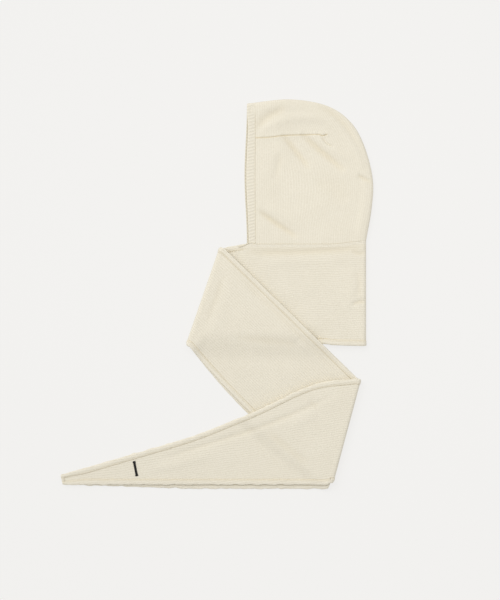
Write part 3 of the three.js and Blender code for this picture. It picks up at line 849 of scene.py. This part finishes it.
end_high = [bend_2_top]
for share, rise in ((0.15, 17), (0.34, 1), (0.54, -9), (0.74, -6)):
    end_high.append(bend_2_top.lerp(tip_high, share) + Vector((0, rise)))
end_high = rounded([*end_high, tip_high], 6)
chord_start = middle_low["left"][6]
chord = bend_2_foot - chord_start
beyond = Vector((chord.y, -chord.x)).normalized()
end_way = heading(180 + 8)
end_creases = [
    ([Vector((-214, -394)), Vector((-168, -432)), Vector((-118, -470))], 10, -1.6),
    (rounded([Vector((-60, -318)), Vector((-130, -352)), Vector((-230, -393)), Vector((-350, -432)),
              Vector((-440, -462))], 3), 6, -1.5),
    ([Vector((-92, -360)), Vector((-130, -372)), Vector((-170, -392))], 10, 0.8),
    ([Vector((-300, -440)), Vector((-400, -470)), Vector((-470, -482))], 9, 0.9),
    ([Vector((-120, -330)), Vector((-104, -350)), Vector((-96, -372))], 5, -0.8),
]
runs = {}
for side in ("left", "right"):
    peek = 9 if side == "right" else 0
    high_1, low_1 = over_neck[side], table_z[0 if side == "left" else 1]
    high_2, low_2 = over_middle[side], table_z[1 if side == "left" else 0]
    share = {"left": 0.55, "right": 1.0}[side]
    runs["middle", side] = strip(
        middle_low[side], middle_high,
        lambda x, y, a=high_1, b=low_1: over_hem(a, b, x, y),
        1,
        lambda x, y, s=share: s * (0.9 * rumple(x, y) + creased(x, y, middle_creases)),
        middle_way, (0.8, 2.0 if side == "left" else 5.0),
    )
    share = 1.6 - share
    runs["end", side] = strip(
        end_low(peek), end_high,
        lambda x, y, a=high_2, b=low_2: ease(a, b, 2, 32, (Vector((x, y)) - chord_start).dot(beyond)),
        1,
        lambda x, y, s=share: s * (0.8 * rumple(x, y) + creased(x, y, end_creases)),
        end_way, (2.0, 9.0 if side == "left" else 12.0), True,
    )

run_sizes = {
    "middle": (spread(0, 1, 1 / 190), 3.4, (0.22, 0.42), 0.080),
    "end": ([*spread(0, 0.988, 1 / 250), 0.991, 0.994, 0.996, 0.998, 0.999, 1], 3.6, (0.22, 0.60), 0.077),
}
cloths = {}
for part, body, below in (("middle", "scarf_middle", "neck"), ("end", "scarf_ends", "arm_middle_right")):
    columns, step, flat, area = run_sizes[part]
    for side in ("left", "right"):
        cloth = make_cloth(
            "arm_" + part + "_" + side,
            lay_cloth(columns, rows_for(strip_width, step), runs[part, side]),
            scarf_knit,
        )
        fit(cloth, body, "cream_knit", "scarf_" + part + "_" + side)
        cloths[part, side] = cloth

# The rolled cloth at each fold, from the edge of the run below, round to the edge of the run above
roll_steps = spread(-90, 90, 10)


def rolled(top, foot, centre_z, low_z, out, lay_way):
    radius = centre_z - low_z
    width = (top - foot).length

    def place(angle, row):
        up, h = across_strip(row, width)
        thick = hem_thick(h)
        line = foot.lerp(top, up / width)
        turned = math.radians(angle)
        reach = radius - (thick - knit) / 2 * math.sin(-turned)
        corner = 1 - (1 - min((up + 5) / 14, (width - up + 4) / 9, 1)) ** 2
        spot = line + out * reach * max(math.cos(turned), 0) ** 0.62 * corner
        unrolled = line + out * radius * (math.pi / 2 - turned)
        flat = (unrolled.dot(Vector((-lay_way.y, lay_way.x))), unrolled.dot(lay_way))
        rise = math.copysign(abs(math.sin(turned)) ** 0.75, turned)
        # Its last value is painted shade in the hem grooves.
        return (spot.x, spot.y, centre_z + reach * rise), thick, flat, hem_groove_shade(h)

    return place


out_1 = Vector((down_1.y, -down_1.x))
out_2 = Vector((-down_2.y, down_2.x))
folds = (
    ("fold_1", bend_1_top, bend_1_foot, middle_way, fold_1_z, out_1, "root", "scarf_middle",
     {"left": neck_at_fold, "right": table_z[0]}),
    ("fold_2", bend_2_top, bend_2_foot, end_way, fold_2_z, out_2, "scarf_middle", "scarf_ends",
     {"left": table_z[0], "right": table_z[1]}),
)
for fold, top, foot, way, centre_z, out, body_below, body_above, lows in folds:
    for side in ("left", "right"):
        low_z = lows[side]
        roll = make_cloth(
            fold + "_roll_" + side,
            lay_cloth(roll_steps, rows_for(strip_width, 3.4), rolled(top, foot, centre_z, low_z, out, way)),
            scarf_knit,
        )
        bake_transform(roll)
        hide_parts(fold + "_bend_" + side)

# ---------------------------------------------------------------------------------------------------
# Hem stitching: every hem is sewn down with one row of pale thread, sunk into the knit 11 mm from the
# edge. Its stitches lean to one side and the other by turns.
stitch_size = (3.2, 1.0, 0.8)
stitch_pitch = 4.2
stitch_swing = 22


def hem_line(place, columns, row):
    spots = []
    for column in columns:
        (x, y, z), thick, _, _ = place(column, row)
        spots.append(Vector((x, y, z + thick / 2 + 0.3)))
    return spots


low_row = hem / hem_zone
for part, body in (("middle", "scarf_middle"), ("end", "scarf_ends")):
    last = 0.985 if part == "middle" else 0.955
    for side in ("left", "right"):
        for hem_name, row in (("lower", low_row), ("upper", 3 - low_row)):
            spots = hem_line(runs[part, side], spread(0.01, last, 0.01), row)
            row_name = "_".join(("stitches", part, hem_name, side))
            stitches = stitch_row(row_name, spots, stitch_pitch, stitch_size, stitch_swing, pale_thread)
            fit(stitches, body, "sewing_thread", "_".join((part, hem_name, "hem_stitch", side)))

for side in ("left", "right"):
    for hem_name in ("lower", "upper"):
        spots = []
        last_x = -8 if hem_name == "lower" else face_x - 6
        for share in spread(0.02, 1, 0.02):
            line = band_bottom if hem_name == "lower" else band_top
            point = along(line, share)
            if point.x > last_x:
                continue
            point = point + Vector((0, hem if hem_name == "lower" else -hem))
            fold = smooth(-254, -290, point.x)
            z = neck_z + (neck_at_fold - neck_z) * fold if side == "left" else table_z[0]
            spots.append(Vector((point.x, point.y, z + knit / 2 + 0.25)))
        row_name = "_".join(("stitches", "neck", hem_name, side))
        stitches = stitch_row(row_name, spots, stitch_pitch, stitch_size, stitch_swing, pale_thread)
        fit(stitches, "root", "sewing_thread", "_".join(("neck", hem_name, "hem_stitch", side)))

# ---------------------------------------------------------------------------------------------------
# Tip tacks: a bar of close stitches across each arm's narrow end keeps its two hems from opening.
for side in ("left", "right"):
    low, high = (Vector(corner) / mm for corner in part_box("tip_tack_" + side))
    offset = Vector((datum.x, datum.y, 0)) / mm
    middle_x = (low.x + high.x) / 2 - offset.x
    spots = [Vector((middle_x, y - offset.y, high.z + 1.1)) for y in spread(low.y - 4, high.y + 4, 1.0)]
    tack = stitch_row("tip_bar_" + side, spots, 1.1, (1.6, 2.6, 1.0), 70, yarn)
    fit(tack, "scarf_ends", "sewing_thread", "tip_tack_" + side)

# ---------------------------------------------------------------------------------------------------
# Tab: a plain narrow woven tab, charcoal, sewn flat on the left arm near its tip with a bar tack of
# dark thread at each end.


def woven_material(name, colour, pitch):
    material, tree, shader = finish(name, 0.8, 0.1)
    spot = node(tree, "ShaderNodeTexCoord").outputs["Object"]
    split = node(tree, "ShaderNodeSeparateXYZ", None, {0: spot})
    weft = maths(tree, "SINE", maths(tree, "MULTIPLY", split.outputs[1], 2 * math.pi / (pitch * mm)))
    warp = maths(tree, "SINE", maths(tree, "MULTIPLY", split.outputs[0], 2 * math.pi / (pitch * mm)))
    weave = maths(tree, "MULTIPLY", weft, warp)
    light = maths(tree, "MULTIPLY_ADD", weave, 0.25, 1.0)
    light = maths(tree, "MULTIPLY_ADD", speckle(tree, spot, 600.0), 0.5, light)
    dress(tree, shader, colour, light, weave, 0.15)
    return material


tab_cloth = woven_material("charcoal_weave", (0.018, 0.016, 0.015), 0.6)
tab_low, tab_high = (local(corner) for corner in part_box("woven_tab"))
tab_way = heading(90 + 11)
tab_side = Vector((-tab_way.y, tab_way.x))
tab_centre = (tab_low + tab_high) / 2
tab_length, tab_width = 32, 5
bpy.context.view_layer.update()
arm = cloths["end", "left"].evaluated_get(bpy.context.evaluated_depsgraph_get())


def arm_top(x, y):
    """The height of the left arm's upper face there, in mm."""
    inverse = arm.matrix_world.inverted()
    start = inverse @ Vector((datum.x + x * mm, datum.y + y * mm, 0.2))
    found, point, _, _ = arm.ray_cast(start, Vector((0, 0, -1)))
    return (arm.matrix_world @ point).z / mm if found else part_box("woven_tab")[0].z / mm


def tab_place(a, b):
    flare = 1 + 0.12 * abs(2 * b - 1) ** 4
    spot = tab_centre + tab_way * tab_length * (b - 0.5) + tab_side * tab_width * (a - 0.5) * flare
    rim = 0.35 if a in (0, 1) or b in (0, 1) else 0.8
    return (spot.x, spot.y, arm_top(spot.x, spot.y) + 0.55), rim, (a * tab_width, b * tab_length), 0


tab = make_cloth("tab", lay_cloth([0, 0.05, *spread(0.15, 0.85, 0.1), 0.95, 1],
                                  [0, 0.01, *spread(0.04, 0.96, 0.04), 0.99, 1], tab_place), tab_cloth)
fit(tab, "scarf_ends", "charcoal_tab", "woven_tab")
dark_thread = woven_material("dark_thread", (0.026, 0.024, 0.022), 0.5)
for end, share in (("upper", 1), ("lower", -1)):
    middle = tab_centre + tab_way * share * (tab_length / 2 - 2.2)
    spots = []
    for step in spread(-2.8, 2.8, 0.5):
        point = middle + tab_side * step
        spots.append(Vector((point.x, point.y, arm_top(point.x, point.y) + 1.2)))
    tack = stitch_row("tab_bar_" + end, spots, 0.8, (2.2, 1.0, 0.8), 85, dark_thread)
    fit(tack, "scarf_ends", "charcoal_tab", "tab_tack_" + end)

# ---------------------------------------------------------------------------------------------------
# Table, light and air: a pale plain table top, soft window light from the upper left, a small softbox
# above and a bright room.
bpy.ops.mesh.primitive_plane_add(size=8, location=(0, 0, -0.0006))
table = bpy.context.object
table.name = "table"
pale, _, pale_shader = finish("pale_table", 1.0, 0.0)
pale_shader.inputs["Base Color"].default_value = (0.14, 0.139, 0.136, 1)
pale_shader.inputs["Specular IOR Level"].default_value = 0
pale_shader.inputs["Emission Color"].default_value = (0.905, 0.896, 0.880, 1)
pale_shader.inputs["Emission Strength"].default_value = 0.835
table.data.materials.append(pale)
table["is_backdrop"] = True

window = bpy.data.objects.new("window", bpy.data.lights.new("window", "SUN"))
window.data.energy = 1.13
window.data.angle = math.radians(40)
window.rotation_euler = (math.radians(-30), math.radians(-35), 0)
bpy.context.scene.collection.objects.link(window)
softbox = bpy.data.objects.new("softbox", bpy.data.lights.new("softbox", "AREA"))
softbox.data.shape = "DISK"
softbox.data.size = 0.8
softbox.data.energy = 2.4
softbox.location = (0.2, 0.3, 1.2)
softbox.visible_camera = False
bpy.context.scene.collection.objects.link(softbox)
air = bpy.data.worlds.new("air")
air.use_nodes = True
air.node_tree.nodes["Background"].inputs["Color"].default_value = (1, 1, 1, 1)
air.node_tree.nodes["Background"].inputs["Strength"].default_value = 0.62
bpy.context.scene.world = air
bpy.context.scene.view_settings.view_transform = "Standard"

low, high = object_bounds()
